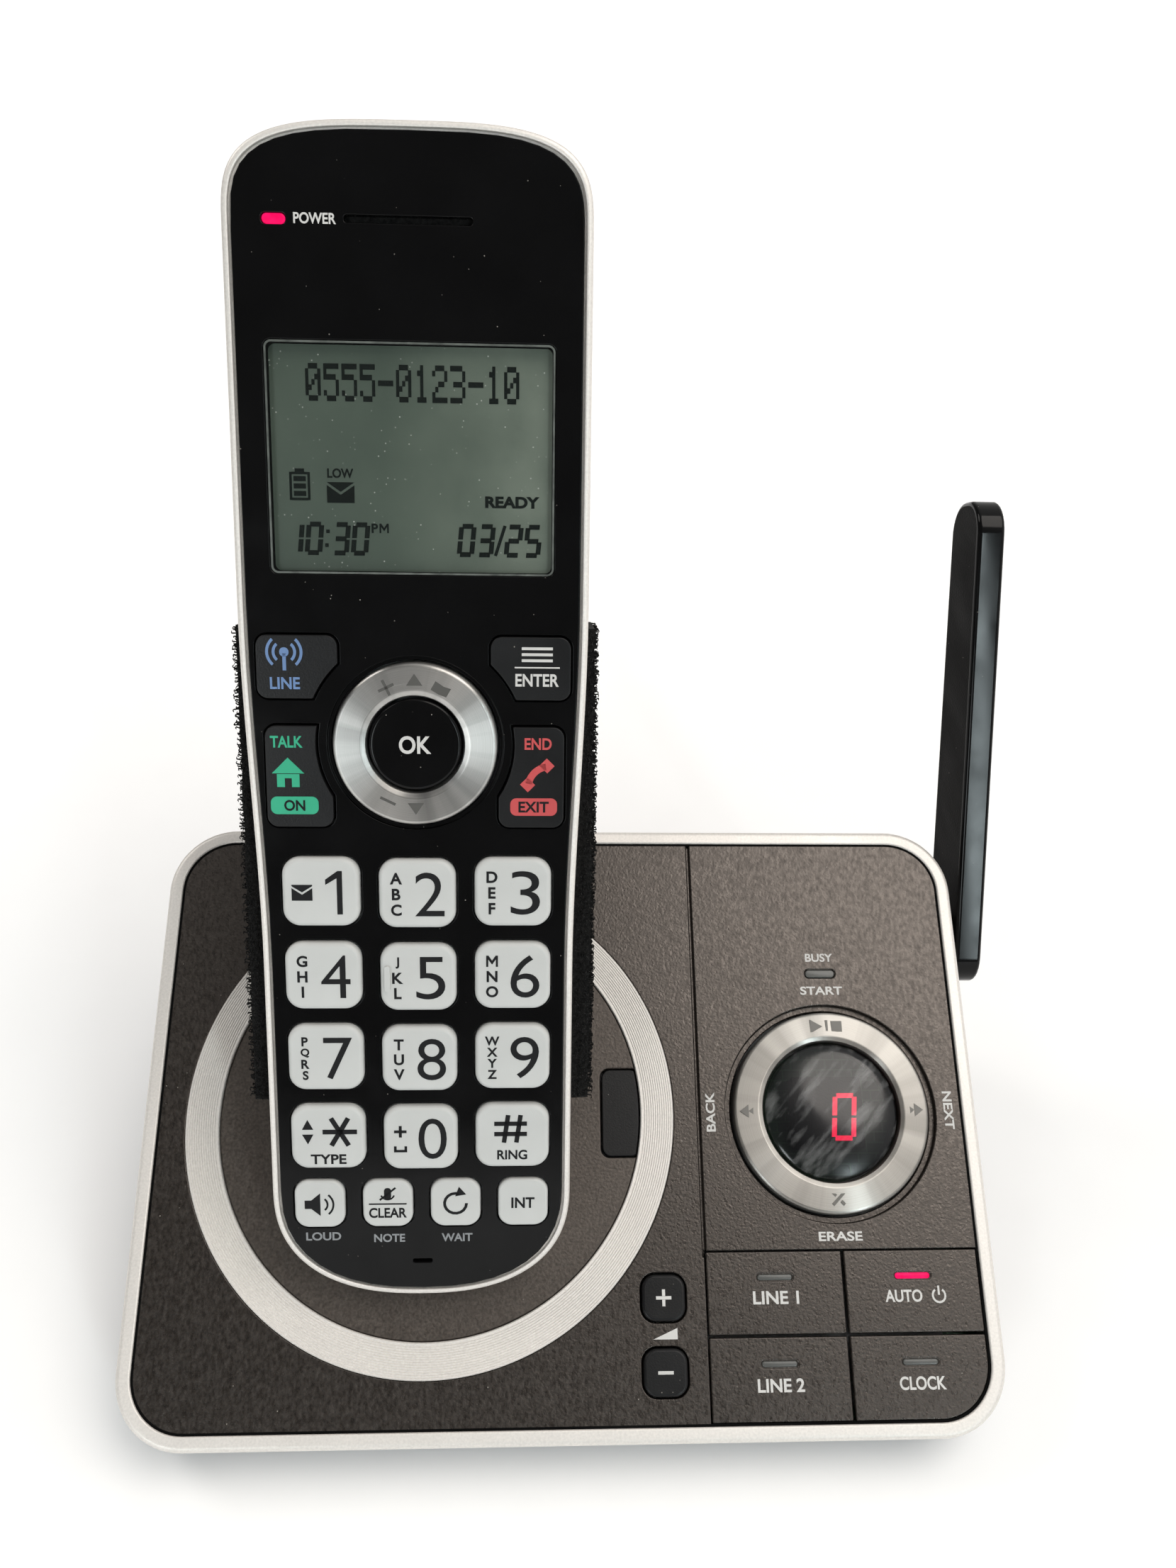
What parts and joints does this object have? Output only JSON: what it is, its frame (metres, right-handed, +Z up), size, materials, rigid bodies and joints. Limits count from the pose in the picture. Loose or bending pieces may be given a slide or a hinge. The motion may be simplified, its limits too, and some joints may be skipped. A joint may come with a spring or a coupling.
{
  "type": "cordless telephone",
  "caption": "Cordless telephone handset with display and keypad, standing in a sloping answering-machine base with control ring, flat keys and folding antenna.",
  "frame": {"origin": "on the table, under the middle of the front rubber foot", "axes": "+Z up, +Y to the back of the base, +X to the user's right"},
  "size_m": [0.1494, 0.1251, 0.1801],
  "materials": {
    "dark_shell": "fine moulded texture",
    "silver_trim": "satin silver paint",
    "face_black": "fine brushed texture",
    "gloss_black": "gloss",
    "smoked_lens": "smoked, gloss",
    "cradle_black": "satin",
    "key_black": "satin",
    "key_grey": "satin",
    "spun_metal": "spun",
    "window_clear": "clear",
    "display_glass": "display",
    "circuit_board": "solder mask",
    "silicone": "moulded",
    "foot_rubber": "matte",
    "steel": "plated",
    "contact_gold": "plated",
    "socket_black": "moulded",
    "battery_wrap": "shrink wrap",
    "tape": "hook and loop pile"
  },
  "bodies": {
    "base": {"base_shell": "dark_shell", "base_bezel": "silver_trim", "face_panel": "face_black", "cradle_circle": "silver_trim", "cradle_well": "cradle_black", "cradle_contacts": "contact_gold", "base_board": "circuit_board", "base_key_mat": "silicone", "message_display": "socket_black", "message_lens": "smoked_lens", "base_speaker": "steel", "rubber_feet": "foot_rubber", "base_screws": "steel", "power_jack": "socket_black", "line_jack": "socket_black"},
    "handset": {"handset_front": "gloss_black", "handset_band": "silver_trim", "handset_rear_shell": "dark_shell", "battery_pack": "battery_wrap", "display_window": "window_clear", "display_module": "display_glass", "handset_board": "circuit_board", "earpiece": "steel", "microphone": "steel", "handset_key_mat": "silicone", "handset_contacts": "contact_gold", "handset_screws": "steel", "hook_and_loop_strips": "tape"},
    "battery_door": {"battery_door": "dark_shell"},
    "antenna": {"antenna": "gloss_black"},
    "control_ring": {"control_ring": "spun_metal"},
    "line_key_1": {"line_key_1": "face_black"},
    "answer_key": {"answer_key": "face_black"},
    "line_key_2": {"line_key_2": "face_black"},
    "setup_key": {"setup_key": "face_black"},
    "volume_down_key": {"volume_down_key": "key_black"},
    "volume_up_key": {"volume_up_key": "key_black"},
    "find_key": {"find_key": "key_black"},
    "navigation_ring": {"navigation_ring": "spun_metal"},
    "select_key": {"select_key": "gloss_black"},
    "soft_key_left": {"soft_key_left": "key_black"},
    "soft_key_right": {"soft_key_right": "key_black"},
    "talk_key": {"talk_key": "key_black"},
    "end_key": {"end_key": "key_black"},
    "key_speaker": {"key_speaker": "key_grey"},
    "key_mute": {"key_mute": "key_grey"},
    "key_redial": {"key_redial": "key_grey"},
    "key_intercom": {"key_intercom": "key_grey"},
    "key_1": {"key_1": "key_grey"},
    "key_2": {"key_2": "key_grey"},
    "key_3": {"key_3": "key_grey"},
    "key_4": {"key_4": "key_grey"},
    "key_5": {"key_5": "key_grey"},
    "key_6": {"key_6": "key_grey"},
    "key_7": {"key_7": "key_grey"},
    "key_8": {"key_8": "key_grey"},
    "key_9": {"key_9": "key_grey"},
    "key_star": {"key_star": "key_grey"},
    "key_0": {"key_0": "key_grey"},
    "key_hash": {"key_hash": "key_grey"}
  },
  "joints": [
    {"name": "handset_lift", "type": "slide", "parent": "base", "child": "handset", "axis": [0, 0.4571, 0.8894], "range_m": [0, 0.09]},
    {"name": "battery_door_lift", "type": "slide", "parent": "handset", "child": "battery_door", "axis": [0, 0.8894, -0.4571], "range_m": [0, 0.014]},
    {"name": "antenna_fold", "type": "hinge", "parent": "base", "child": "antenna", "pos_m": [0.0713, 0.0612, 0.04231], "axis": [1, 0, 0], "range_deg": [-60, 30]},
    {"name": "control_ring_tilt", "type": "hinge", "parent": "base", "child": "control_ring", "pos_m": [0.04585, 0.02662, 0.0362], "axis": [1, 0, 0], "range_deg": [-2, 2], "stiffness_Nm_per_rad": 0.3},
    {"name": "line_key_1_press", "type": "slide", "parent": "base", "child": "line_key_1", "axis": [0, 0.5, -0.866], "range_m": [0, 0.0008], "stiffness_N_per_m": 500, "springref_m": -0.0004},
    {"name": "answer_key_press", "type": "slide", "parent": "base", "child": "answer_key", "axis": [0, 0.5, -0.866], "range_m": [0, 0.0008], "stiffness_N_per_m": 500, "springref_m": -0.0004},
    {"name": "line_key_2_press", "type": "slide", "parent": "base", "child": "line_key_2", "axis": [0, 0.5, -0.866], "range_m": [0, 0.0008], "stiffness_N_per_m": 500, "springref_m": -0.0004},
    {"name": "setup_key_press", "type": "slide", "parent": "base", "child": "setup_key", "axis": [0, 0.5, -0.866], "range_m": [0, 0.0008], "stiffness_N_per_m": 500, "springref_m": -0.0004},
    {"name": "volume_down_key_press", "type": "slide", "parent": "base", "child": "volume_down_key", "axis": [0, 0.5, -0.866], "range_m": [0, 0.0008], "stiffness_N_per_m": 500, "springref_m": -0.0004},
    {"name": "volume_up_key_press", "type": "slide", "parent": "base", "child": "volume_up_key", "axis": [0, 0.5, -0.866], "range_m": [0, 0.0008], "stiffness_N_per_m": 500, "springref_m": -0.0004},
    {"name": "find_key_press", "type": "slide", "parent": "base", "child": "find_key", "axis": [0, 0.5, -0.866], "range_m": [0, 0.0008], "stiffness_N_per_m": 500, "springref_m": -0.0004},
    {"name": "navigation_ring_tilt", "type": "hinge", "parent": "handset", "child": "navigation_ring", "pos_m": [-0.0229, 0.03969, 0.10609], "axis": [1, 0, 0], "range_deg": [-2, 2], "stiffness_Nm_per_rad": 0.3},
    {"name": "select_key_press", "type": "slide", "parent": "handset", "child": "select_key", "axis": [0, 0.8894, -0.4571], "range_m": [0, 0.0008], "stiffness_N_per_m": 500, "springref_m": -0.0004},
    {"name": "soft_key_left_press", "type": "slide", "parent": "handset", "child": "soft_key_left", "axis": [0, 0.8894, -0.4571], "range_m": [0, 0.0008], "stiffness_N_per_m": 500, "springref_m": -0.0004},
    {"name": "soft_key_right_press", "type": "slide", "parent": "handset", "child": "soft_key_right", "axis": [0, 0.8894, -0.4571], "range_m": [0, 0.0008], "stiffness_N_per_m": 500, "springref_m": -0.0004},
    {"name": "talk_key_press", "type": "slide", "parent": "handset", "child": "talk_key", "axis": [0, 0.8894, -0.4571], "range_m": [0, 0.0008], "stiffness_N_per_m": 500, "springref_m": -0.0004},
    {"name": "end_key_press", "type": "slide", "parent": "handset", "child": "end_key", "axis": [0, 0.8894, -0.4571], "range_m": [0, 0.0008], "stiffness_N_per_m": 500, "springref_m": -0.0004},
    {"name": "key_speaker_press", "type": "slide", "parent": "handset", "child": "key_speaker", "axis": [0, 0.8894, -0.4571], "range_m": [0, 0.0008], "stiffness_N_per_m": 500, "springref_m": -0.0004},
    {"name": "key_mute_press", "type": "slide", "parent": "handset", "child": "key_mute", "axis": [0, 0.8894, -0.4571], "range_m": [0, 0.0008], "stiffness_N_per_m": 500, "springref_m": -0.0004},
    {"name": "key_redial_press", "type": "slide", "parent": "handset", "child": "key_redial", "axis": [0, 0.8894, -0.4571], "range_m": [0, 0.0008], "stiffness_N_per_m": 500, "springref_m": -0.0004},
    {"name": "key_intercom_press", "type": "slide", "parent": "handset", "child": "key_intercom", "axis": [0, 0.8894, -0.4571], "range_m": [0, 0.0008], "stiffness_N_per_m": 500, "springref_m": -0.0004},
    {"name": "key_1_press", "type": "slide", "parent": "handset", "child": "key_1", "axis": [0, 0.8894, -0.4571], "range_m": [0, 0.0008], "stiffness_N_per_m": 500, "springref_m": -0.0004},
    {"name": "key_2_press", "type": "slide", "parent": "handset", "child": "key_2", "axis": [0, 0.8894, -0.4571], "range_m": [0, 0.0008], "stiffness_N_per_m": 500, "springref_m": -0.0004},
    {"name": "key_3_press", "type": "slide", "parent": "handset", "child": "key_3", "axis": [0, 0.8894, -0.4571], "range_m": [0, 0.0008], "stiffness_N_per_m": 500, "springref_m": -0.0004},
    {"name": "key_4_press", "type": "slide", "parent": "handset", "child": "key_4", "axis": [0, 0.8894, -0.4571], "range_m": [0, 0.0008], "stiffness_N_per_m": 500, "springref_m": -0.0004},
    {"name": "key_5_press", "type": "slide", "parent": "handset", "child": "key_5", "axis": [0, 0.8894, -0.4571], "range_m": [0, 0.0008], "stiffness_N_per_m": 500, "springref_m": -0.0004},
    {"name": "key_6_press", "type": "slide", "parent": "handset", "child": "key_6", "axis": [0, 0.8894, -0.4571], "range_m": [0, 0.0008], "stiffness_N_per_m": 500, "springref_m": -0.0004},
    {"name": "key_7_press", "type": "slide", "parent": "handset", "child": "key_7", "axis": [0, 0.8894, -0.4571], "range_m": [0, 0.0008], "stiffness_N_per_m": 500, "springref_m": -0.0004},
    {"name": "key_8_press", "type": "slide", "parent": "handset", "child": "key_8", "axis": [0, 0.8894, -0.4571], "range_m": [0, 0.0008], "stiffness_N_per_m": 500, "springref_m": -0.0004},
    {"name": "key_9_press", "type": "slide", "parent": "handset", "child": "key_9", "axis": [0, 0.8894, -0.4571], "range_m": [0, 0.0008], "stiffness_N_per_m": 500, "springref_m": -0.0004},
    {"name": "key_star_press", "type": "slide", "parent": "handset", "child": "key_star", "axis": [0, 0.8894, -0.4571], "range_m": [0, 0.0008], "stiffness_N_per_m": 500, "springref_m": -0.0004},
    {"name": "key_0_press", "type": "slide", "parent": "handset", "child": "key_0", "axis": [0, 0.8894, -0.4571], "range_m": [0, 0.0008], "stiffness_N_per_m": 500, "springref_m": -0.0004},
    {"name": "key_hash_press", "type": "slide", "parent": "handset", "child": "key_hash", "axis": [0, 0.8894, -0.4571], "range_m": [0, 0.0008], "stiffness_N_per_m": 500, "springref_m": -0.0004}
  ]
}
